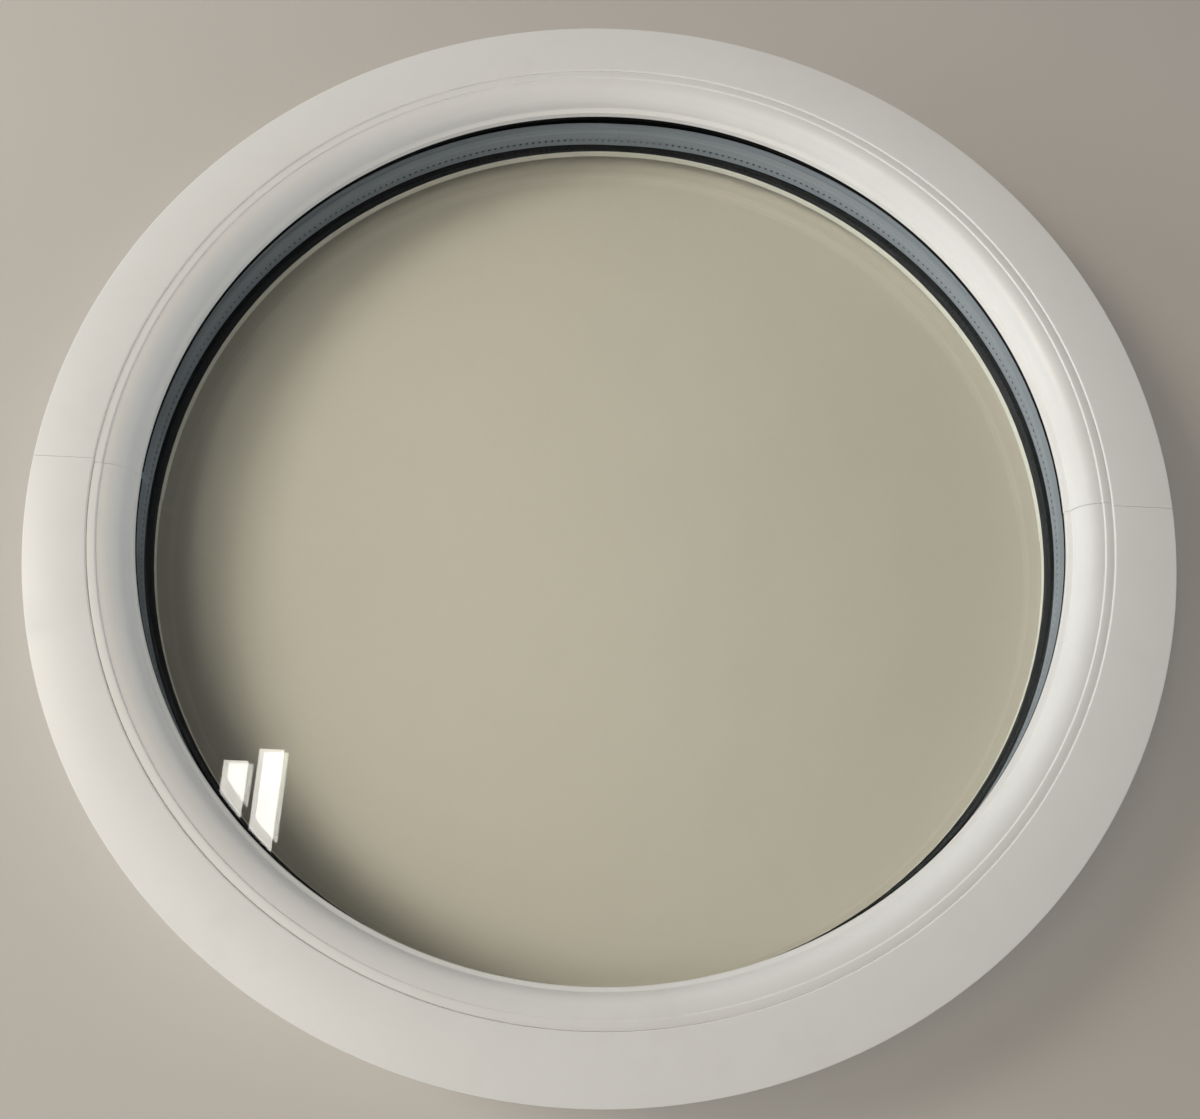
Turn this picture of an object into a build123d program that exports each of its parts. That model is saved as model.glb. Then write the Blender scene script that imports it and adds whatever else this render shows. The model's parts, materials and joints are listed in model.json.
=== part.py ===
import os
from math import cos, degrees, radians, sin, sqrt

from build123d import *

os.makedirs("parts", exist_ok=True)

# A fixed round window of bent hollow profile with a sealed double glazed unit.
# It lies on its back face. The origin is the centre of that face, +Z points out
# of the front, and the frame's two welded joints lie on the X axis.
# Each ring is drawn as a section, with the radius across and the height up.

# Frame
outer_diameter = 600.0
face_width = 31.8
leg_reach = 17.2
leg_height = 13.5
leg_nose_height = 4.4
lower_leg_setback = 0.5
frame_wall = 2.8
frame_web = 1.5
rim_edge_radius = 0.8
face_edge_radius = 0.8
weld_groove_width = 0.3
weld_groove_depth = 0.3

# Moulding that the frame's back and the bead's front share
quirk = 0.9
ledge_width = 2.3
ledge_drop = 1.3
ovolo_start_slope = 5.0
nose_edge_radius = 0.4

# Glazed unit
pane_thickness = 4.0
cavity = 20.0
unit_edge_gap = 4.2
pane_edge_chamfer = 0.4
film_gap = 0.05
sealant_recess = 0.5

# Spacer bar inside the unit, with its key and its filling
spacer_setback = 10.0
spacer_depth = 6.5
spacer_side = 4.0
spacer_back_inset = 2.2
spacer_wall = 0.5
spacer_groove_width = 0.8
spacer_groove_depth = 0.25
spacer_groove_inset = 3.7
spacer_sag = 4.1
sag_start_angle = 10.0
spacer_joint_gap = 0.2
butyl_thickness = 0.3
butyl_setback = 0.4
connector_length = 60.0
filling_clearance = 0.1

# Gaskets
back_gasket_height = 5.5
front_gasket_height = 4.4
gasket_width = 6.5
gasket_lip = 1.3
gasket_setback = 0.4
tongue_width = 2.0
tongue_depth = 1.9
tongue_offset = 2.4
tongue_clearance = 0.2
gasket_shrinkage = 4.0

# Glazing bead
bead_height = 17.6
bead_reach = 18.6
bead_drop = 1.0
bead_gap = 0.1
bead_strip = 4.5
bead_nose_height = 3.3
bead_wall = 1.5
bead_edge_radius = 0.2
strip_edge_radius = 0.8
bead_turn_angle = 0.4
bead_joint_gap = 0.15
bead_side_shift = 0.1

# Groove in the frame that the bead clips into
clip_drop = 8.6
clip_mouth = 3.6
clip_lip = 1.6
clip_undercut = 1.6
clip_depth = 6.0
clip_clearance = 0.2
clip_hook_step = 1.4

# Glazing packers
packer_count = 8
packer_length = 50.0
packer_overlap = 1.0
packer_clearance = 0.1
packer_corner_radius = 1.0

# Worked out: radii
outer_radius = outer_diameter / 2
rebate_radius = outer_radius - face_width
leg_radius = rebate_radius - leg_reach
bead_outer_radius = rebate_radius - bead_gap
bead_nose_radius = rebate_radius - bead_reach
quirk_radius = bead_outer_radius - bead_strip
unit_radius = rebate_radius - unit_edge_gap
spacer_radius = unit_radius - spacer_setback
sag_radius = spacer_radius - spacer_sag / (1 - sin(radians(sag_start_angle)))

# Worked out: heights
unit_bottom = leg_height + back_gasket_height
cavity_bottom = unit_bottom + pane_thickness
cavity_middle = cavity_bottom + cavity / 2
cavity_top = cavity_bottom + cavity
unit_top = cavity_top + pane_thickness
bead_bottom = unit_top + front_gasket_height
bead_top = bead_bottom + bead_height
frame_depth = bead_top + bead_drop
clip_mouth_top = frame_depth - clip_drop
clip_bottom = clip_mouth_top - clip_mouth
clip_top = clip_mouth_top + clip_undercut
spacer_half_height = cavity / 2 - film_gap - butyl_thickness

# Worked out: the ovolo's slope in radians, the turn of each half and where it starts, at a weld
ovolo_start = radians(ovolo_start_slope)
halves = ("upper", "lower")
half_turn = 360 / len(halves)
half_starts = {half: number * half_turn for number, half in enumerate(halves)}


def ring_section(angle, centre=(0.0, 0.0)):
    """The plane through an upright axis at an angle from +X, radius across and height up."""
    across = (cos(radians(angle)), sin(radians(angle)), 0)
    return Plane((*centre, 0), x_dir=across, z_dir=(across[1], -across[0], 0))


def arc_angle(length, radius):
    """The angle that a length takes round a circle."""
    return degrees(length / radius)


def corners_at(sketch, *points):
    """The corners of a sketch that lie at the given points."""
    return [sketch.vertices().sort_by_distance(point)[0] for point in points]


# Frame: two bent halves of one profile, butted and welded


def frame_outline(nose_radius):
    """The outside of the frame's profile, its back leg ending at nose_radius."""
    rim_back, rim_front = (outer_radius, 0), (outer_radius, frame_depth)
    face_edge = (rebate_radius, frame_depth)
    leg_top, leg_nose = (nose_radius, leg_height), (nose_radius, leg_height - leg_nose_height)
    ledge_end = (nose_radius + ledge_width, leg_height - leg_nose_height - ledge_drop)
    quirk_foot = (quirk_radius, quirk)
    groove_start = leg_radius + gasket_setback + tongue_offset - tongue_clearance
    groove_end = groove_start + tongue_width + 2 * tongue_clearance
    groove_floor = leg_height - tongue_depth - tongue_clearance
    with BuildSketch() as profile:
        with BuildLine():
            Polyline(
                quirk_foot,
                (quirk_radius, 0),
                rim_back,
                rim_front,
                face_edge,
                (rebate_radius, clip_mouth_top),
                (rebate_radius + clip_lip, clip_mouth_top),
                (rebate_radius + clip_lip, clip_top),
                (rebate_radius + clip_depth, clip_top),
                (rebate_radius + clip_depth, clip_bottom),
                (rebate_radius, clip_bottom),
                (rebate_radius, leg_height),
                (groove_end, leg_height),
                (groove_end, groove_floor),
                (groove_start, groove_floor),
                (groove_start, leg_height),
                leg_top,
                leg_nose,
                ledge_end,
            )
            TangentArc(quirk_foot, ledge_end, tangent=(-cos(ovolo_start), sin(ovolo_start)))
        make_face()
        fillet(corners_at(profile, rim_back, rim_front), radius=rim_edge_radius)
        fillet(corners_at(profile, face_edge), radius=face_edge_radius)
        fillet(corners_at(profile, leg_top, leg_nose), radius=nose_edge_radius)
    return profile.sketch


def frame_section(outline):
    """The frame's profile with its chambers, which the webs divide."""
    inner_wall = rebate_radius + frame_wall
    back_web_bottom = leg_height + frame_wall
    root_bottom = clip_bottom - frame_wall
    root_width = clip_depth + frame_wall
    with BuildSketch() as chambers:
        offset(outline, amount=-frame_wall, kind=Kind.INTERSECTION, mode=Mode.ADD)
        # Solid root round the clip groove, and the front web in line with it
        with Locations((rebate_radius, root_bottom)):
            Rectangle(root_width, frame_depth, align=(Align.MIN, Align.MIN), mode=Mode.SUBTRACT)
            Rectangle(face_width, frame_web, align=(Align.MIN, Align.MIN), mode=Mode.SUBTRACT)
        # Back web in line with the leg, with one web to the leg and one to the back face
        with Locations((rebate_radius, back_web_bottom)):
            Rectangle(face_width, frame_web, align=(Align.MIN, Align.MIN), mode=Mode.SUBTRACT)
        with Locations((inner_wall, back_web_bottom), ((inner_wall + outer_radius) / 2, back_web_bottom)):
            Rectangle(frame_web, leg_height, align=(Align.MAX, Align.MAX), mode=Mode.SUBTRACT)
    with BuildSketch() as section:
        add(outline)
        add(chambers.sketch, mode=Mode.SUBTRACT)
    return section.sketch


for half, start_angle in half_starts.items():
    leg_setback = lower_leg_setback if half == "lower" else 0
    outline = frame_outline(leg_radius + leg_setback)
    with BuildPart() as frame_half:
        with BuildSketch(ring_section(start_angle)):
            add(frame_section(outline))
        revolve(axis=Axis.Z, revolution_arc=half_turn)
        # The cleaned weld line, a shallow groove round the profile at both ends
        with BuildSketch(*[ring_section(angle) for angle in half_starts.values()]):
            offset(outline, amount=weld_groove_depth, kind=Kind.INTERSECTION, mode=Mode.ADD)
            offset(outline, amount=-weld_groove_depth, kind=Kind.INTERSECTION, mode=Mode.SUBTRACT)
        extrude(amount=weld_groove_width / 2, both=True, mode=Mode.SUBTRACT)
    frame_half.part.label = f"frame_{half}_half"
    export_step(frame_half.part, f"parts/frame_{half}_half.step")


# Glazing bead with its front gasket: two halves that butt a little past the welds


def bead_outline():
    """The outside of the bead's body, without its clip."""
    strip_edge, outer_edge = (quirk_radius, bead_top), (bead_outer_radius, bead_top)
    quirk_foot = (quirk_radius, bead_top - quirk)
    nose_edge = (bead_nose_radius, bead_bottom + bead_nose_height)
    ledge_end = (bead_nose_radius + ledge_width, bead_bottom + bead_nose_height + ledge_drop)
    seat_end = bead_nose_radius + gasket_setback + gasket_width + bead_wall
    groove_start = bead_nose_radius + gasket_setback + tongue_offset - tongue_clearance
    groove_end = groove_start + tongue_width + 2 * tongue_clearance
    groove_top = bead_bottom + tongue_depth + tongue_clearance
    with BuildSketch() as profile:
        with BuildLine():
            Polyline(
                ledge_end,
                nose_edge,
                (bead_nose_radius, bead_bottom),
                (groove_start, bead_bottom),
                (groove_start, groove_top),
                (groove_end, groove_top),
                (groove_end, bead_bottom),
                (seat_end, bead_bottom),
                (bead_outer_radius, clip_bottom + clip_clearance),
                outer_edge,
                strip_edge,
                quirk_foot,
            )
            TangentArc(quirk_foot, ledge_end, tangent=(-cos(ovolo_start), -sin(ovolo_start)))
        make_face()
        fillet(corners_at(profile, outer_edge), radius=bead_edge_radius)
        fillet(corners_at(profile, strip_edge), radius=strip_edge_radius)
        fillet(corners_at(profile, nose_edge, ledge_end), radius=nose_edge_radius)
    return profile.sketch


def bead_clip():
    """The hooked foot that snaps into the frame's groove."""
    wall_inside = bead_outer_radius - bead_wall
    hook_start = rebate_radius + clip_lip + clip_clearance + bead_gap
    foot_end = rebate_radius + clip_depth - clip_clearance - bead_gap
    foot_bottom = clip_bottom + clip_clearance
    stem_top = clip_mouth_top - clip_clearance
    hook_top = clip_top - clip_clearance
    with BuildSketch() as clip:
        with BuildLine():
            Polyline(
                (wall_inside, foot_bottom),
                (foot_end, foot_bottom),
                (foot_end, stem_top - clip_hook_step),
                (hook_start + clip_hook_step, hook_top),
                (hook_start, hook_top),
                (hook_start, stem_top),
                (wall_inside, stem_top),
                close=True,
            )
        make_face()
    return clip.sketch


def gasket_section(start, seat, glass, tongue_tip):
    """A lip between a seat and the glass, with a tongue into the seat."""
    end = start + gasket_width
    tongue_start = start + tongue_offset
    tongue_end = tongue_start + tongue_width
    lip = gasket_lip if glass < seat else -gasket_lip
    with BuildSketch() as section:
        with BuildLine():
            Polyline(
                (start, seat),
                (start, glass + lip),
                (start + gasket_lip, glass),
                (end - gasket_lip, glass),
                (end, glass + lip),
                (end, seat),
                (tongue_end, seat),
                (tongue_end, tongue_tip),
                (tongue_start, tongue_tip),
                (tongue_start, seat),
                close=True,
            )
        make_face()
    return section.sketch


joint_angle = arc_angle(bead_joint_gap, rebate_radius)
shrinkage_angle = arc_angle(gasket_shrinkage, bead_nose_radius)

for half, start_angle in half_starts.items():
    centre = (bead_side_shift if half == "lower" else -bead_side_shift, 0)
    half_axis = Axis((*centre, 0), (0, 0, 1))
    half_section = ring_section(start_angle + bead_turn_angle + joint_angle / 2, centre)
    half_arc = half_turn - joint_angle

    outline = bead_outline()
    with BuildPart() as bead_half:
        with BuildSketch(half_section):
            add(outline)
            offset(outline, amount=-bead_wall, kind=Kind.INTERSECTION, mode=Mode.SUBTRACT)
            add(bead_clip())
        revolve(axis=half_axis, revolution_arc=half_arc)
    bead_half.part.label = f"bead_{half}_half"
    export_step(bead_half.part, f"parts/bead_{half}_half.step")

    # The upper gasket has shrunk back from its left end
    gasket_arc = half_arc - shrinkage_angle if half == "upper" else half_arc
    with BuildPart() as front_gasket:
        with BuildSketch(half_section):
            add(
                gasket_section(
                    start=bead_nose_radius + gasket_setback,
                    seat=bead_bottom - film_gap,
                    glass=unit_top + film_gap,
                    tongue_tip=bead_bottom + tongue_depth,
                )
            )
        revolve(axis=half_axis, revolution_arc=gasket_arc)
    front_gasket.part.label = f"front_gasket_{half}"
    export_step(front_gasket.part, f"parts/front_gasket_{half}.step")


# Back gasket: one ring pressed into the back leg

with BuildPart() as back_gasket:
    with BuildSketch(Plane.XZ):
        add(
            gasket_section(
                start=leg_radius + gasket_setback,
                seat=leg_height + film_gap,
                glass=unit_bottom - film_gap,
                tongue_tip=leg_height - tongue_depth,
            )
        )
    revolve(axis=Axis.Z)
back_gasket.part.label = "back_gasket"
export_step(back_gasket.part, "parts/back_gasket.step")


# Glazed unit: two panes

for side, pane_bottom in (("back", unit_bottom), ("front", cavity_top)):
    with BuildPart() as pane:
        with BuildSketch(Plane.XY.offset(pane_bottom)):
            Circle(unit_radius)
        extrude(amount=pane_thickness)
        chamfer(pane.edges().filter_by(GeomType.CIRCLE), length=pane_edge_chamfer)
    pane.part.label = f"{side}_pane"
    export_step(pane.part, f"parts/{side}_pane.step")


# Spacer bar and all that follows it. The bar's line is a circle as far up as the sag
# angle on each side, and from there two tighter arcs meet in a shallow kink at the top.
# Sections along it are drawn with 0 at the bar's inner face, halfway between the panes.

sag_shift = spacer_radius - sag_radius
sag_centre = (sag_shift * cos(radians(sag_start_angle)), sag_shift * sin(radians(sag_start_angle)))


def run_over_top(section, low=spacer_joint_gap / 2, high=unit_radius):
    """Add a section's run along the sagging arcs, between two distances from the top joint."""
    with BuildSketch(ring_section(sag_start_angle, sag_centre)) as right_end:
        with Locations((sag_radius, cavity_middle)):
            add(section)
    revolve(right_end.sketch, axis=Axis((*sag_centre, 0), (0, 0, 1)), revolution_arc=half_turn / 2)
    split(bisect_by=Plane.YZ.offset(low), keep=Keep.TOP)
    split(bisect_by=Plane.YZ.offset(high), keep=Keep.BOTTOM)
    mirror(about=Plane.YZ)


def run_round_bottom(section):
    """Add a section's run along the circle below the sagging arcs."""
    with BuildSketch(ring_section(half_turn - sag_start_angle)) as left_end:
        with Locations((spacer_radius, cavity_middle)):
            add(section)
    revolve(left_end.sketch, axis=Axis.Z, revolution_arc=half_turn + 2 * sag_start_angle)


def spacer_outline():
    """The outside of the spacer bar: flat to the cavity, with its back corners cut off."""
    back_height = spacer_half_height - spacer_back_inset
    with BuildSketch() as section:
        with BuildLine():
            Polyline(
                (0, -spacer_half_height),
                (spacer_side, -spacer_half_height),
                (spacer_depth, -back_height),
                (spacer_depth, back_height),
                (spacer_side, spacer_half_height),
                (0, spacer_half_height),
                close=True,
            )
        make_face()
    return section.sketch


def spacer_section():
    """The spacer bar's thin wall, with a rolled groove near each pane."""
    groove_height = spacer_half_height - spacer_groove_inset
    with BuildSketch() as section:
        add(spacer_outline())
        offset(spacer_outline(), amount=-spacer_wall, kind=Kind.INTERSECTION, mode=Mode.SUBTRACT)
        with Locations((0, groove_height), (0, -groove_height)):
            Rectangle(
                2 * spacer_groove_depth, spacer_groove_width, align=Align.CENTER, mode=Mode.SUBTRACT
            )
    return section.sketch


def filling_section():
    """What fits inside the spacer bar."""
    with BuildSketch() as section:
        offset(
            spacer_outline(),
            amount=-spacer_wall - filling_clearance,
            kind=Kind.INTERSECTION,
            mode=Mode.ADD,
        )
    return section.sketch


def butyl_section(side):
    """The strip between the spacer bar and one pane: side is 1 for the front, -1 for the back."""
    with BuildSketch() as section:
        with Locations((butyl_setback, side * (spacer_half_height + butyl_thickness / 2))):
            Rectangle(spacer_side - butyl_setback, butyl_thickness, align=(Align.MIN, Align.CENTER))
    return section.sketch


def inside_of_sealant():
    """All that lies inside the edge sealant, far enough in to clear its blank."""
    with BuildSketch() as section:
        offset(spacer_outline(), amount=film_gap, kind=Kind.INTERSECTION, mode=Mode.ADD)
        with Locations((spacer_side + film_gap, 0)):
            Rectangle(2 * spacer_setback, cavity, align=(Align.MAX, Align.CENTER))
    return section.sketch


with BuildPart() as spacer_bar:
    run_over_top(spacer_section())
    run_round_bottom(spacer_section())
spacer_bar.part.label = "spacer_bar"
export_step(spacer_bar.part, "parts/spacer_bar.step")

with BuildPart() as spacer_connector:
    run_over_top(filling_section(), low=0, high=connector_length / 2)
spacer_connector.part.label = "spacer_connector"
export_step(spacer_connector.part, "parts/spacer_connector.step")

with BuildPart() as desiccant:
    run_over_top(filling_section(), low=connector_length / 2 + filling_clearance)
    run_round_bottom(filling_section())
desiccant.part.label = "desiccant"
export_step(desiccant.part, "parts/desiccant.step")

for side, direction in (("back", -1), ("front", 1)):
    with BuildPart() as butyl_seal:
        run_over_top(butyl_section(direction), low=0)
        run_round_bottom(butyl_section(direction))
    butyl_seal.part.label = f"{side}_butyl_seal"
    export_step(butyl_seal.part, f"parts/{side}_butyl_seal.step")

with BuildPart() as sealed_inside:
    run_over_top(inside_of_sealant(), low=0)
    run_round_bottom(inside_of_sealant())

with BuildPart() as edge_sealant:
    with BuildSketch(Plane.XY.offset(cavity_bottom + film_gap)):
        Circle(unit_radius - sealant_recess)
        Circle(spacer_radius - spacer_setback, mode=Mode.SUBTRACT)
    extrude(amount=cavity - 2 * film_gap)
    add(sealed_inside.part, mode=Mode.SUBTRACT)
edge_sealant.part.label = "edge_sealant"
export_step(edge_sealant.part, "parts/edge_sealant.step")


# Glazing packers: flat plates that touch the unit at their middle and the frame at their ends

packer_inner = unit_radius + packer_clearance
packer_outer = sqrt((rebate_radius - packer_clearance) ** 2 - (packer_length / 2) ** 2)
packer_bottom = unit_bottom - packer_overlap
packer_height = unit_top + packer_overlap - packer_bottom

for number in range(packer_count):
    turn = (number + 0.5) * 360 / packer_count
    with BuildPart() as packer:
        with BuildSketch(Plane.XY.offset(packer_bottom).rotated((0, 0, turn))):
            with Locations((packer_inner, 0)):
                Rectangle(
                    packer_outer - packer_inner, packer_length, align=(Align.MIN, Align.CENTER)
                )
        extrude(amount=packer_height)
        fillet(packer.edges().filter_by(Axis.Z), radius=packer_corner_radius)
    packer.part.label = f"glazing_packer_{number + 1}"
    export_step(packer.part, f"parts/glazing_packer_{number + 1}.step")
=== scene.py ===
import json
from math import asin, copysign, cos, hypot, pi, radians, sin, tan

import bmesh
import bpy
from mathutils import Matrix, Vector


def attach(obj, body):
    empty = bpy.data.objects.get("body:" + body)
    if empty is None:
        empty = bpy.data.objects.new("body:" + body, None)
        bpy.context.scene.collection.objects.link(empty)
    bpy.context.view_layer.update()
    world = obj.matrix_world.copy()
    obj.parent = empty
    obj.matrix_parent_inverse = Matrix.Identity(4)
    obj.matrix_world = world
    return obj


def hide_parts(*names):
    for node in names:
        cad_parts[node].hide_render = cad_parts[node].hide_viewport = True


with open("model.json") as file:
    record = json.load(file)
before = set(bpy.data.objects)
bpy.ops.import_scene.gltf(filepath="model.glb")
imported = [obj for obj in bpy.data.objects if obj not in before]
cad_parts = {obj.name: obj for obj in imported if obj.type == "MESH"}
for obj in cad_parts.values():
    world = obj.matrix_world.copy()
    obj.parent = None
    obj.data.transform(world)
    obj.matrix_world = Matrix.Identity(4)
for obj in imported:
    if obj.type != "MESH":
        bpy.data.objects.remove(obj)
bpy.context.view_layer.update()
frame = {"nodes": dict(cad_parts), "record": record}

# A fixed round window that lies on its back, dressed for a picture.
# Lengths are in metres. The origin is the centre of the window's back face and +Z points
# out of its front, so the radius across and the height up say where a ring is.

MM = 0.001

# Frame, as in the solids
OUTER_RADIUS = 299.99 * MM
REBATE_RADIUS = 268.2 * MM
FRAME_DEPTH = 70 * MM
QUIRK_RADIUS = 263.6 * MM
LEG_RADIUS = {"upper": 251 * MM, "lower": 251.5 * MM}
LEG_HEIGHT = 13.5 * MM
LEG_NOSE_HEIGHT = 4.4 * MM
GASKET_GROOVE_START = 2.6 * MM
GASKET_GROOVE_END = 5 * MM
GASKET_GROOVE_DEPTH = 2.1 * MM
CLIP_BOTTOM = 57.8 * MM
CLIP_MOUTH_TOP = 61.4 * MM
CLIP_TOP = 63 * MM
CLIP_LIP = 1.6 * MM
CLIP_DEPTH = 6 * MM
RIM_EDGE = 0.8 * MM
FACE_EDGE = 0.8 * MM
WELD_GROOVE = 0.3 * MM

# Moulding that the frame's back and the bead's front share
QUIRK = 0.9 * MM
LEDGE_WIDTH = 2.3 * MM
LEDGE_DROP = 1.3 * MM
OVOLO_SLOPE = radians(5)
NOSE_EDGE = 0.4 * MM

# Glazing bead
BEAD_RADIUS = 268.1 * MM
BEAD_BOTTOM = 51.4 * MM
BEAD_TOP = 69 * MM
BEAD_NOSE_RADIUS = 249.6 * MM
BEAD_NOSE_HEIGHT = 3.3 * MM
BEAD_SEAT = 8.4 * MM
BEAD_TURN = radians(0.4)
BEAD_JOINT_GAP = 0.15 * MM
BEAD_SHIFT = {"upper": -0.1 * MM, "lower": 0.1 * MM}
BEAD_END_EDGE = 0.06 * MM
BEAD_EDGE = 0.2 * MM
STRIP_EDGE = 0.8 * MM
FOOT_RADIUS = 273.9 * MM
FOOT_SIDE_TOP = 59.8 * MM
HOOK_START = 270.1 * MM
HOOK_END = 271.5 * MM
HOOK_TOP = 62.8 * MM
CLIP_CLEARANCE = 0.2 * MM

# Spacer bar: a circle below, and two tighter arcs that meet in a shallow kink at the top
CAVITY_MIDDLE = 33 * MM
SPACER_RADIUS = 254 * MM
SPACER_HALF_HEIGHT = 9.65 * MM
SPACER_SIDE = 4 * MM
SPACER_DEPTH = 6.5 * MM
SPACER_BACK_HALF_HEIGHT = 7.45 * MM
SPACER_WALL = 0.5 * MM
SPACER_GROOVE_START = 5.55 * MM
SPACER_GROOVE_END = 6.35 * MM
SPACER_GROOVE_DEPTH = 0.25 * MM
SAG_RADIUS = 249.04 * MM
SAG_START = radians(10)
SPACER_JOINT_GAP = 0.2 * MM
SAG_HOLES = 88
ROUND_HOLES = 111
HOLE_RADIUS = 0.85 * MM
HOLE_DISH = 1.2 * MM
HOLE_DEPTH = 0.35 * MM
HOLE_ROW = 5.75 * MM
ROW_HALF_WIDTH = 1.3 * MM
HOLE_SIDES = 12

# How finely the pieces are made
HALF_STEPS = 360
ARC_STEPS = 24
EDGE_STEPS = 4
MERGE = 0.004 * MM
SMOOTH_ANGLE = radians(28)

# Ribs of the moulded plastic
RIB_PITCH = 2 * MM

# The sky's light: its level, and what its sides, its right and its front add
SKY_LEVEL = 0.69
SKY_SIDES = 0.74
SKY_RIGHT = 0.25
SKY_FRONT = 0.2

# Floor, sky and lamps. A lamp has a place, a target, a length, a width, a radiance and a tint.
FLOOR_RADIUS = 2.4
FLOOR_FADE = 0.7
FLOOR_SIDES = 96
SKY_SEEN = 0.72
SKY_TURNS_DARK = (0.25, 0.7)
WARM_HORIZON = (1.0, 0.95, 0.88, 1)
COOL_HORIZON = (0.88, 0.94, 1.0, 1)
DARK_OVERHEAD = (0.022, 0.022, 0.022, 1)
WINDOW_MIDDLE = (0, 0, 0.05)
LAMPS = {
    "side_lamp": ((-1.62, 0.23, 1.69), WINDOW_MIDDLE, 0.73, 0.73, 10.6, (1.0, 0.90, 0.77)),
    "low_lamp": ((-2.4, 0.1, 0.75), WINDOW_MIDDLE, 0.9, 1.6, 3.7, (0.70, 0.86, 1.0)),
    "front_lamp": ((-0.9, -0.52, 1.94), WINDOW_MIDDLE, 0.8, 0.8, 3.3, (1.0, 0.89, 0.73)),
    "strip_lamp_1": ((-0.82, -0.43, 2.2), (-0.82, -0.42, 0), 1.2, 0.058, 7, (1.0, 0.97, 0.9)),
    "strip_lamp_2": ((-0.74, -0.40, 2.2), (-0.74, -0.39, 0), 1.2, 0.058, 7, (1.0, 0.97, 0.9)),
}
UNMIRRORED_LAMP = "low_lamp"


# Camera, where the window was seen from

camera_data = bpy.data.cameras.new("camera")
camera_data.sensor_width = 36
camera_data.lens = 34.695
camera = bpy.data.objects.new("camera", camera_data)
camera.location = (-0.0043, -0.2375, 0.6312)
camera.rotation_euler = (radians(19.052), radians(-1.2013), radians(2.4))
bpy.context.scene.collection.objects.link(camera)
bpy.context.scene.camera = camera


# Shader wiring

COLOUR_A, COLOUR_B, MIXED_COLOUR = 6, 7, 2    # the Mix node's sockets for colours


class Wire:
    """An output of a shader node. Sums and products of wires and numbers add Math nodes."""

    def __init__(self, tree, socket=None):
        self.tree = tree
        self.socket = socket

    def node(self, kind, settings=None, sockets=None, output=0):
        """Add a node of a kind, feed its sockets with values or wires, and return an output."""
        made = self.tree.nodes.new("ShaderNode" + kind)
        for name, value in (settings or {}).items():
            setattr(made, name, value)
        for key, value in (sockets or {}).items():
            if isinstance(value, Wire):
                self.tree.links.new(value.socket, made.inputs[key])
            else:
                made.inputs[key].default_value = value
        return Wire(self.tree, made.outputs[output])

    def math(self, operation, *values):
        """A Math node on this wire, then the other values."""
        return self.node("Math", {"operation": operation}, dict(enumerate((self, *values))))

    def __add__(self, other):
        return self.math("ADD", other)

    def __sub__(self, other):
        return self.math("SUBTRACT", other)

    def __mul__(self, other):
        return self.math("MULTIPLY", other)

    def __truediv__(self, other):
        return self.math("DIVIDE", other)

    def __rsub__(self, other):
        return self.node("Math", {"operation": "SUBTRACT"}, {0: other, 1: self})

    __radd__ = __add__
    __rmul__ = __mul__

    def ramp(self, low, high):
        """This value's smooth rise from 0 at low to 1 at high."""
        return self.node(
            "MapRange",
            {"interpolation_type": "SMOOTHSTEP"},
            {"Value": self, "From Min": low, "From Max": high},
        )

    def scaled(self, x, y, z):
        """This vector with its parts multiplied."""
        return self.node("VectorMath", {"operation": "MULTIPLY"}, {0: self, 1: (x, y, z)})

    def noise(self, scale, detail=3, roughness=0.5):
        """Cloudy noise from 0 to 1 on this vector."""
        sockets = {"Vector": self, "Scale": scale, "Detail": detail, "Roughness": roughness}
        return self.node("TexNoise", sockets=sockets)

    def grains(self, scale):
        """Distance to the middle of the nearest grain on this vector."""
        return self.node("TexVoronoi", sockets={"Vector": self, "Scale": scale})

    def parts(self):
        """The three parts of this vector."""
        split = self.node("SeparateXYZ", sockets={0: self})
        return [Wire(self.tree, socket) for socket in split.socket.node.outputs]

    def blend(self, first, second):
        """A colour that goes from the first at 0 to the second at 1."""
        sockets = {"Factor": self, COLOUR_A: first, COLOUR_B: second}
        return self.node("Mix", {"data_type": "RGBA"}, sockets, output=MIXED_COLOUR)

    def bump(self, height, strength=1.0, normal=None):
        """The surface's direction where this value, from 0 to 1, raises it by up to a height."""
        sockets = {"Height": self, "Distance": height, "Strength": strength}
        if normal:
            sockets["Normal"] = normal
        return self.node("Bump", sockets=sockets)


def colour(red, green, blue):
    """A colour as the shader takes it."""
    return (red, green, blue, 1)


def new_finish(name):
    """A material, its shader and a wire of the place on the object."""
    material = bpy.data.materials.new(name)
    material.use_nodes = True
    shader = material.node_tree.nodes["Principled BSDF"]
    place = Wire(material.node_tree).node("TexCoord", output="Object")
    return material, shader, place


def dress(shader, **sockets):
    """Set the shader's sockets to values or wires. An underscore stands for a space."""
    for name, value in sockets.items():
        socket = shader.inputs[name.replace("_", " ")]
        if isinstance(value, Wire):
            value.tree.links.new(value.socket, socket)
        else:
            socket.default_value = value


def ring_radius(place):
    """The distance of a place from the Z axis."""
    x, y, z = place.parts()
    return (x * x + y * y).math("SQRT")


def ring_section(place):
    """A place on the ring's section, the same all the way round."""
    height = place.parts()[2]
    return place.node("CombineXYZ", sockets={"X": ring_radius(place), "Y": height})


def finish_with(material, surface):
    """Put a mixed surface on a material in place of its plain shader."""
    output = material.node_tree.nodes["Material Output"]
    material.node_tree.links.new(surface.socket, output.inputs["Surface"])


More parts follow.
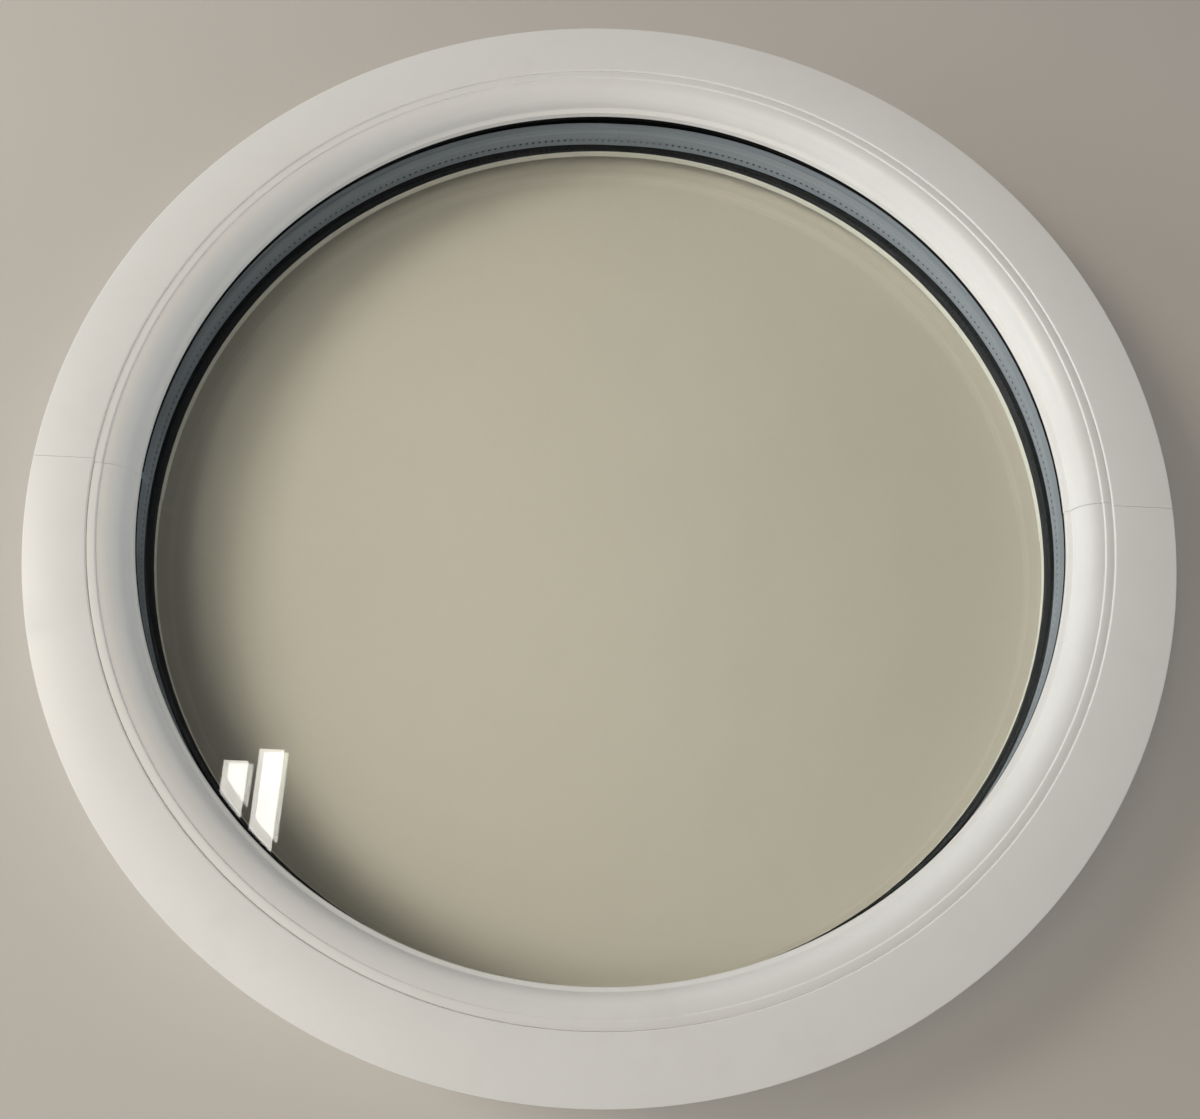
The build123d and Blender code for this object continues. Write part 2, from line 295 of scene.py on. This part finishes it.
def white_profile():
    """Satin white extruded profile: die lines along the ring, a faint mottle and handling marks."""
    material, shader, place = new_finish("white_profile")
    die_lines = ring_section(place).noise(scale=1500, detail=4, roughness=0.7)
    mottle = place.noise(scale=45, detail=5, roughness=0.6)
    marks = place.noise(scale=14, detail=6, roughness=0.65).ramp(0.52, 0.72)
    grain = place.noise(scale=2600, detail=2)
    uneven = 0.6 * mottle + 0.4 * die_lines
    tint = uneven.blend(colour(0.80, 0.80, 0.785), colour(0.87, 0.87, 0.86))
    dusty = (0.12 * marks).blend(tint, colour(0.62, 0.60, 0.56))
    groove = die_lines.bump(4e-6, strength=0.6)
    dress(
        shader,
        Base_Color=dusty,
        Roughness=0.27 + 0.1 * mottle + 0.08 * die_lines + 0.08 * marks,
        Normal=grain.bump(2e-6, strength=0.5, normal=groove),
        Specular_IOR_Level=0.5,
        IOR=1.53,
    )
    return material


def gasket_rubber():
    """Black rubber with a fine grain and a faint grey bloom."""
    material, shader, place = new_finish("gasket_rubber")
    grain = place.noise(scale=3000, detail=3)
    bloom = place.noise(scale=60, detail=5).ramp(0.45, 0.8)
    grey = 0.4 * bloom + 0.3 * grain
    dress(
        shader,
        Base_Color=grey.blend(colour(0.003, 0.003, 0.0035), colour(0.009, 0.009, 0.0095)),
        Roughness=0.6 + 0.2 * grain + 0.1 * bloom,
        Specular_IOR_Level=0.1,
        Normal=grain.bump(1e-5, strength=0.5),
    )
    return material


def window_glass():
    """Clear float glass, slightly green, with the faintest smears."""
    material, shader, place = new_finish("window_glass")
    smears = place.scaled(1, 0.4, 1).noise(scale=18, detail=6, roughness=0.7).ramp(0.5, 0.85)
    waves = place.noise(scale=9, detail=1)
    dress(
        shader,
        Base_Color=smears.blend(colour(0.95, 0.963, 0.95), colour(0.93, 0.944, 0.932)),
        Roughness=0.0,
        IOR=1.52,
        Transmission_Weight=1.0,
        Normal=waves.bump(2e-6, strength=0.3),
    )
    clear = place.node("BsdfTransparent", sockets={"Color": colour(0.93, 0.938, 0.928)})
    shadow = place.node("LightPath", output="Is Shadow Ray")
    surface = Wire(place.tree, shader.outputs[0])
    finish_with(material, place.node("MixShader", sockets={0: shadow, 1: surface, 2: clear}))
    return material


def spacer_metal():
    """Grey rolled metal with fine lines along the bar, tinted blue: a painted reflection of bluish
    daylight.
    """
    material, shader, place = new_finish("spacer_metal")
    rolled = ring_section(place).noise(scale=2400, detail=4, roughness=0.75)
    cloud = place.noise(scale=70, detail=4)
    uneven = 0.5 * rolled + 0.5 * cloud
    dress(
        shader,
        # The blue in these colours is painted reflection of bluish daylight, not the metal's own
        # grey.
        Base_Color=uneven.blend(colour(0.25, 0.295, 0.365), colour(0.33, 0.385, 0.465)),
        Metallic=0.3,
        Roughness=0.42 + 0.1 * cloud + 0.08 * rolled,
        Normal=rolled.bump(4e-6, strength=0.7),
    )
    return material


def black_seal(name, smooth, rough):
    """Black sealant, pressed smooth with a few waves."""
    material, shader, place = new_finish(name)
    waves = place.noise(scale=160, detail=3)
    dress(
        shader,
        Base_Color=waves.blend(colour(0.003, 0.003, 0.0035), colour(0.008, 0.008, 0.0085)),
        Roughness=smooth + (rough - smooth) * waves,
        Specular_IOR_Level=0.1,
        Normal=waves.bump(1e-4, strength=0.5),
    )
    return material


def desiccant_beads():
    """Small beads, packed, coloured near black: painted shade that darkens the punched holes they
    show through.
    """
    material, shader, place = new_finish("desiccant_beads")
    beads = place.grains(scale=900)
    dress(
        shader,
        # Near-black colour is painted shade for the spacer's holes, darker than the beads
        # themselves.
        Base_Color=beads.blend(colour(0.11, 0.10, 0.09), colour(0.03, 0.028, 0.025)),
        Roughness=0.85,
        Normal=(1 - beads).bump(3e-4),
    )
    return material


def moulded_plastic(name, dark, light):
    """Moulded plastic with a spark-eroded grain and fine ribs round it."""
    material, shader, place = new_finish(name)
    grain = place.noise(scale=1800, detail=3)
    height = place.parts()[2]
    ribs = (height * 2 * pi / RIB_PITCH).math("SINE")
    dress(
        shader,
        Base_Color=grain.blend(dark, light),
        Roughness=0.45 + 0.15 * grain,
        Normal=(0.5 * ribs + 0.2 * grain).bump(1e-4, strength=0.6),
    )
    return material


finishes = {
    "white_profile": white_profile(),
    "gasket_rubber": gasket_rubber(),
    "window_glass": window_glass(),
    "spacer_metal": spacer_metal(),
    "butyl": black_seal("butyl", smooth=0.25, rough=0.45),
    "sealant": black_seal("sealant", smooth=0.35, rough=0.6),
    "desiccant_beads": desiccant_beads(),
    "connector_plastic": moulded_plastic(
        "connector_plastic", dark=colour(0.16, 0.16, 0.17), light=colour(0.24, 0.24, 0.25)
    ),
    "packer_plastic": moulded_plastic(
        "packer_plastic", dark=colour(0.12, 0.26, 0.55), light=colour(0.17, 0.34, 0.66)
    ),
}

for subpart in frame["record"]["subparts"]:
    node = frame["nodes"][subpart["node"]]
    node.data.materials.clear()
    node.data.materials.append(finishes[subpart["material_slot"]])


# Pieces that are made finer than the solids they stand for


def add_piece(name, shape, slot, *nodes):
    """Turn a shape into a piece of the window, in place of the nodes that it stands for."""
    mesh = bpy.data.meshes.new(name)
    shape.to_mesh(mesh)
    shape.free()
    mesh.materials.append(finishes[slot])
    mesh.polygons.foreach_set("use_smooth", [True] * len(mesh.polygons))
    mesh.set_sharp_from_angle(angle=SMOOTH_ANGLE)
    piece = bpy.data.objects.new(name, mesh)
    bpy.context.scene.collection.objects.link(piece)
    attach(piece, "root")
    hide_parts(*nodes)


def ovolo(start, end, rise):
    """Centre and turn of the moulding's arc.

    It climbs from the back face at a rise of 1 and drops from the front face at a rise of -1.
    """
    across, up = end[0] - start[0], end[1] - start[1]
    chord = hypot(across, up)
    inward = (sin(OVOLO_SLOPE), rise * cos(OVOLO_SLOPE))
    radius = chord**2 / (2 * (across * inward[0] + up * inward[1]))
    centre = (start[0] + radius * inward[0], start[1] + radius * inward[1])
    return centre, rise * 2 * asin(chord / (2 * radius))


def moulded_section(corners, rise, rounds):
    """A closed outline in the XZ plane, radius across and height up.

    The corners run from the ovolo's end to its start, and rounds pairs a corner with its radius.
    """
    section = bmesh.new()
    points = [section.verts.new((radius, 0, height)) for radius, height in corners]
    for pair in zip(points, points[1:]):
        section.edges.new(pair)
    (middle_radius, middle_height), turn = ovolo(corners[-1], corners[0], rise)
    bmesh.ops.spin(
        section,
        geom=[points[-1]],
        cent=(middle_radius, 0, middle_height),
        axis=(0, 1, 0),
        angle=turn,
        steps=ARC_STEPS,
    )
    bmesh.ops.remove_doubles(section, verts=section.verts, dist=MERGE)
    bmesh.ops.edgeloop_fill(section, edges=section.edges)
    for (radius, height), size in rounds:
        place = Vector((radius, 0, height))
        corner = min(section.verts, key=lambda point: (point.co - place).length)
        bmesh.ops.bevel(
            section,
            geom=[corner],
            offset=size,
            segments=EDGE_STEPS,
            profile=0.5,
            affect="VERTICES",
            material=-1,
        )
    return section


def bend(section, start, gap_angle, shift, end_width, end_rise):
    """Sweep a section half way round an upright axis, close both ends and draw their edges in.

    The sweep leaves out a gap at its start and its end, and the ends reach into it by their rise.
    """
    bmesh.ops.delete(section, geom=section.faces[:], context="FACES_ONLY")
    first_end = section.edges[:]
    centre = Vector((shift, 0, 0))
    place = Matrix.Translation(centre) @ Matrix.Rotation(start + gap_angle, 4, "Z")
    bmesh.ops.transform(section, matrix=place, verts=section.verts)
    swept = bmesh.ops.spin(
        section,
        geom=section.verts[:] + first_end,
        cent=centre,
        axis=(0, 0, 1),
        angle=pi - 2 * gap_angle,
        steps=HALF_STEPS,
    )
    last_end = [item for item in swept["geom_last"] if isinstance(item, bmesh.types.BMEdge)]
    ends = []
    for edges in (first_end, last_end):
        ends += bmesh.ops.edgeloop_fill(section, edges=edges)["faces"]
    bmesh.ops.recalc_face_normals(section, faces=section.faces)
    bmesh.ops.inset_region(
        section,
        faces=ends,
        thickness=end_width,
        depth=end_rise,
        use_even_offset=True,
        use_boundary=True,
    )
    return section


def frame_corners(leg_radius):
    """The frame's outline, from the ledge over the leg, rebate, front and rim to the quirk."""
    leg_side = LEG_HEIGHT - LEG_NOSE_HEIGHT
    groove_start = LEG_RADIUS["upper"] + GASKET_GROOVE_START
    groove_end = LEG_RADIUS["upper"] + GASKET_GROOVE_END
    groove_floor = LEG_HEIGHT - GASKET_GROOVE_DEPTH
    return [
        (leg_radius + LEDGE_WIDTH, leg_side - LEDGE_DROP),
        (leg_radius, leg_side),
        (leg_radius, LEG_HEIGHT),
        (groove_start, LEG_HEIGHT),
        (groove_start, groove_floor),
        (groove_end, groove_floor),
        (groove_end, LEG_HEIGHT),
        (REBATE_RADIUS, LEG_HEIGHT),
        (REBATE_RADIUS, CLIP_BOTTOM),
        (REBATE_RADIUS + CLIP_DEPTH, CLIP_BOTTOM),
        (REBATE_RADIUS + CLIP_DEPTH, CLIP_TOP),
        (REBATE_RADIUS + CLIP_LIP, CLIP_TOP),
        (REBATE_RADIUS + CLIP_LIP, CLIP_MOUTH_TOP),
        (REBATE_RADIUS, CLIP_MOUTH_TOP),
        (REBATE_RADIUS, FRAME_DEPTH),
        (OUTER_RADIUS, FRAME_DEPTH),
        (OUTER_RADIUS, 0),
        (QUIRK_RADIUS, 0),
        (QUIRK_RADIUS, QUIRK),
    ]


def bead_corners():
    """The bead's outline, from the ledge over the nose, seat, clip and strip to the quirk."""
    nose_top = BEAD_BOTTOM + BEAD_NOSE_HEIGHT
    groove_start = BEAD_NOSE_RADIUS + GASKET_GROOVE_START
    groove_end = BEAD_NOSE_RADIUS + GASKET_GROOVE_END
    groove_top = BEAD_BOTTOM + GASKET_GROOVE_DEPTH
    foot_bottom = CLIP_BOTTOM + CLIP_CLEARANCE
    stem_top = CLIP_MOUTH_TOP - CLIP_CLEARANCE
    return [
        (BEAD_NOSE_RADIUS + LEDGE_WIDTH, nose_top + LEDGE_DROP),
        (BEAD_NOSE_RADIUS, nose_top),
        (BEAD_NOSE_RADIUS, BEAD_BOTTOM),
        (groove_start, BEAD_BOTTOM),
        (groove_start, groove_top),
        (groove_end, groove_top),
        (groove_end, BEAD_BOTTOM),
        (BEAD_NOSE_RADIUS + BEAD_SEAT, BEAD_BOTTOM),
        (BEAD_RADIUS, foot_bottom),
        (FOOT_RADIUS, foot_bottom),
        (FOOT_RADIUS, FOOT_SIDE_TOP),
        (HOOK_END, HOOK_TOP),
        (HOOK_START, HOOK_TOP),
        (HOOK_START, stem_top),
        (BEAD_RADIUS, stem_top),
        (BEAD_RADIUS, BEAD_TOP),
        (QUIRK_RADIUS, BEAD_TOP),
        (QUIRK_RADIUS, BEAD_TOP - QUIRK),
    ]


for half, start in (("upper", 0), ("lower", pi)):
    leg_radius = LEG_RADIUS[half]
    frame_section = moulded_section(
        frame_corners(leg_radius),
        rise=1,
        rounds=[
            ((leg_radius, LEG_HEIGHT - LEG_NOSE_HEIGHT), NOSE_EDGE),
            ((leg_radius, LEG_HEIGHT), NOSE_EDGE),
            ((REBATE_RADIUS, FRAME_DEPTH), FACE_EDGE),
            ((OUTER_RADIUS, FRAME_DEPTH), RIM_EDGE),
            ((OUTER_RADIUS, 0), RIM_EDGE),
        ],
    )
    frame_half = bend(
        frame_section,
        start=start,
        gap_angle=WELD_GROOVE / 2 / leg_radius,
        shift=0,
        end_width=WELD_GROOVE,
        end_rise=WELD_GROOVE / 2,
    )
    add_piece(f"{half}_frame", frame_half, "white_profile", f"frame_{half}_half")

    nose_top = BEAD_BOTTOM + BEAD_NOSE_HEIGHT
    bead_section = moulded_section(
        bead_corners(),
        rise=-1,
        rounds=[
            ((BEAD_NOSE_RADIUS + LEDGE_WIDTH, nose_top + LEDGE_DROP), NOSE_EDGE),
            ((BEAD_NOSE_RADIUS, nose_top), NOSE_EDGE),
            ((BEAD_RADIUS, BEAD_TOP), BEAD_EDGE),
            ((QUIRK_RADIUS, BEAD_TOP), STRIP_EDGE),
        ],
    )
    bead_half = bend(
        bead_section,
        start=start + BEAD_TURN,
        gap_angle=(BEAD_JOINT_GAP / 2 + BEAD_END_EDGE) / BEAD_NOSE_RADIUS,
        shift=BEAD_SHIFT[half],
        end_width=BEAD_END_EDGE,
        end_rise=BEAD_END_EDGE,
    )
    add_piece(f"{half}_bead", bead_half, "white_profile", f"bead_{half}_half")


def spacer_length(pitch_angle, radius):
    """One length of the bar with one punched hole, its ends cut to meet the next round a ring.

    X runs along the bar, Y up it and Z into its depth, from the face that the cavity sees.
    """
    length = bmesh.new()
    half_pitch = radius * tan(pitch_angle / 2)
    bmesh.ops.create_circle(length, segments=HOLE_SIDES, radius=HOLE_RADIUS)
    bmesh.ops.translate(length, vec=(0, 0, HOLE_DEPTH), verts=length.verts)
    rim = bmesh.ops.extrude_edge_only(length, edges=length.edges[:])["geom"]
    rim_points = [item for item in rim if isinstance(item, bmesh.types.BMVert)]
    dish = HOLE_DISH / HOLE_RADIUS
    bmesh.ops.scale(length, vec=(dish, dish, 0), verts=rim_points)
    hole_edges = [item for item in rim if isinstance(item, bmesh.types.BMEdge)]
    plate = bmesh.ops.extrude_edge_only(length, edges=hole_edges)["geom"]
    for point in plate:
        if isinstance(point, bmesh.types.BMVert):
            # Each quarter of the plate's rim goes to its corner, and a point on an axis to one side
            point.co.x = copysign(half_pitch, point.co.x + MERGE)
            point.co.y = copysign(ROW_HALF_WIDTH, point.co.y + MERGE)
    bmesh.ops.remove_doubles(length, verts=length.verts, dist=MERGE)
    bmesh.ops.translate(length, vec=(0, -HOLE_ROW, 0), verts=length.verts)

    outline = [
        (SPACER_GROOVE_START, 0),
        (SPACER_GROOVE_START, SPACER_GROOVE_DEPTH),
        (SPACER_GROOVE_END, SPACER_GROOVE_DEPTH),
        (SPACER_GROOVE_END, 0),
        (SPACER_HALF_HEIGHT, 0),
        (SPACER_HALF_HEIGHT, SPACER_SIDE),
        (SPACER_BACK_HALF_HEIGHT, SPACER_DEPTH),
        (-SPACER_BACK_HALF_HEIGHT, SPACER_DEPTH),
        (-SPACER_HALF_HEIGHT, SPACER_SIDE),
        (-SPACER_HALF_HEIGHT, 0),
        (-HOLE_ROW - ROW_HALF_WIDTH, 0),
    ]
    edge = max(length.edges, key=lambda side: side.verts[0].co.y + side.verts[1].co.y)
    for up, depth in outline:
        grown = bmesh.ops.extrude_edge_only(length, edges=[edge])["geom"]
        edge = next(item for item in grown if isinstance(item, bmesh.types.BMEdge))
        for point in edge.verts:
            point.co = (point.co.x, up, depth)
    for point in length.verts:
        point.co.x *= 1 + point.co.z / radius
    bmesh.ops.remove_doubles(length, verts=length.verts, dist=MERGE)
    return length


def spacer_run(radius, centre, start, turn, holes):
    """Lengths of the bar laid end to end round an arc."""
    pitch_angle = turn / holes
    run = spacer_length(pitch_angle, radius)
    upright = Matrix(((0, 0, 1, radius), (1, 0, 0, 0), (0, 1, 0, CAVITY_MIDDLE), (0, 0, 0, 1)))
    place = Matrix.Translation(centre) @ Matrix.Rotation(start + pitch_angle / 2, 4, "Z") @ upright
    bmesh.ops.transform(run, matrix=place, verts=run.verts)
    bmesh.ops.spin(
        run,
        geom=run.verts[:] + run.edges[:] + run.faces[:],
        cent=centre,
        axis=(0, 0, 1),
        angle=turn - pitch_angle,
        steps=holes - 1,
        use_duplicate=True,
    )
    return run


sag_shift = SPACER_RADIUS - SAG_RADIUS
sag_centre = Vector((sag_shift * cos(SAG_START), sag_shift * sin(SAG_START), 0))
top_angle = pi / 2 + asin(sag_centre.x / SAG_RADIUS)
sag_run = spacer_run(SAG_RADIUS, sag_centre, SAG_START, top_angle - SAG_START, SAG_HOLES)
bmesh.ops.bisect_plane(
    sag_run,
    geom=sag_run.verts[:] + sag_run.edges[:] + sag_run.faces[:],
    dist=MERGE,
    plane_co=(SPACER_JOINT_GAP / 2, 0, 0),
    plane_no=(1, 0, 0),
    clear_inner=True,
)
sag_mesh = bpy.data.meshes.new("sag_run")
sag_run.to_mesh(sag_mesh)
sag_run.free()
bar = spacer_run(SPACER_RADIUS, Vector(), -pi / 2, pi / 2 + SAG_START, ROUND_HOLES)
bar.from_mesh(sag_mesh)
bpy.data.meshes.remove(sag_mesh)
bmesh.ops.remove_doubles(bar, verts=bar.verts, dist=MERGE)
bmesh.ops.mirror(bar, geom=bar.verts[:] + bar.edges[:] + bar.faces[:], axis="X", merge_dist=MERGE)
bmesh.ops.recalc_face_normals(bar, faces=bar.faces)
bmesh.ops.solidify(bar, geom=bar.faces[:], thickness=SPACER_WALL)
add_piece("perforated_spacer", bar, "spacer_metal", "spacer_bar")


# Studio: a pale floor, soft lamps at the left, two strip lamps above and a pale horizon


def floor_finish():
    """Plain pale floor that fades into the horizon.

    It is clear from below, and under the frame, so that the window's back is seen and lit
    from there.
    """
    material, shader, place = new_finish("floor")
    cloud = place.noise(scale=3, detail=4)
    tint = cloud.blend(colour(0.58, 0.55, 0.51), colour(0.63, 0.60, 0.56))
    dress(shader, Base_Color=tint, Roughness=0.9)
    clear = place.node("BsdfTransparent")
    below = place.node("NewGeometry", output="Backfacing")
    distance = ring_radius(place)
    far = distance.ramp(FLOOR_FADE, FLOOR_RADIUS)
    past_quirk = distance.math("GREATER_THAN", QUIRK_RADIUS)
    inside_rim = distance.math("LESS_THAN", OUTER_RADIUS - RIM_EDGE)
    open_share = below.math("MAXIMUM", far).math("MAXIMUM", past_quirk * inside_rim)
    surface = Wire(place.tree, shader.outputs[0])
    finish_with(material, place.node("MixShader", sockets={0: open_share, 1: surface, 2: clear}))
    return material


floor_shape = bmesh.new()
bmesh.ops.create_circle(floor_shape, cap_ends=True, segments=FLOOR_SIDES, radius=FLOOR_RADIUS)
floor_mesh = bpy.data.meshes.new("floor")
floor_shape.to_mesh(floor_mesh)
floor_shape.free()
floor_mesh.materials.append(floor_finish())
floor = bpy.data.objects.new("floor", floor_mesh)
bpy.context.scene.collection.objects.link(floor)


def soft_lamp(name, place, target, length, width, radiance, tint, mirrored):
    """A rectangular lamp that faces a target, its length turned up as far as it goes.

    One that isn't mirrored leaves no image of itself in the glass.
    """
    data = bpy.data.lights.new(name, "AREA")
    data.shape = "RECTANGLE"
    data.size = width
    data.size_y = length
    data.energy = radiance * pi * length * width
    data.color = tint
    lamp = bpy.data.objects.new(name, data)
    lamp.location = place
    lamp.rotation_euler = (Vector(target) - Vector(place)).to_track_quat("-Z", "Y").to_euler()
    lamp.visible_glossy = lamp.visible_transmission = mirrored
    bpy.context.scene.collection.objects.link(lamp)


for lamp_name, lamp_values in LAMPS.items():
    soft_lamp(lamp_name, *lamp_values, mirrored=lamp_name != UNMIRRORED_LAMP)


def pale_horizon():
    """A sky that is pale at the horizon and dark overhead, so that the glass stays clear.

    What is seen, in glass and metal too, has a plain strength. Its light
    is stronger from the sides.
    """
    world = bpy.data.worlds.new("sky")
    bpy.context.scene.world = world
    world.use_nodes = True
    sky = world.node_tree.nodes["Background"]
    across, along, height = Wire(world.node_tree).node("TexCoord", output="Generated").parts()
    sides = across * across
    overhead = height.ramp(*SKY_TURNS_DARK)
    tint = overhead.blend(sides.blend(WARM_HORIZON, COOL_HORIZON), DARK_OVERHEAD)
    world.node_tree.links.new(tint.socket, sky.inputs["Color"])
    light = SKY_LEVEL + SKY_SIDES * sides + SKY_RIGHT * across - SKY_FRONT * along
    camera_ray = height.node("LightPath", output="Is Camera Ray")
    glossy_ray = height.node("LightPath", output="Is Glossy Ray")
    glass_ray = height.node("LightPath", output="Is Transmission Ray")
    seen = camera_ray.math("MAXIMUM", glossy_ray).math("MAXIMUM", glass_ray)
    strength = light + seen * (SKY_SEEN - light)
    world.node_tree.links.new(strength.socket, sky.inputs["Strength"])


pale_horizon()

bpy.context.scene.view_settings.view_transform = "Standard"
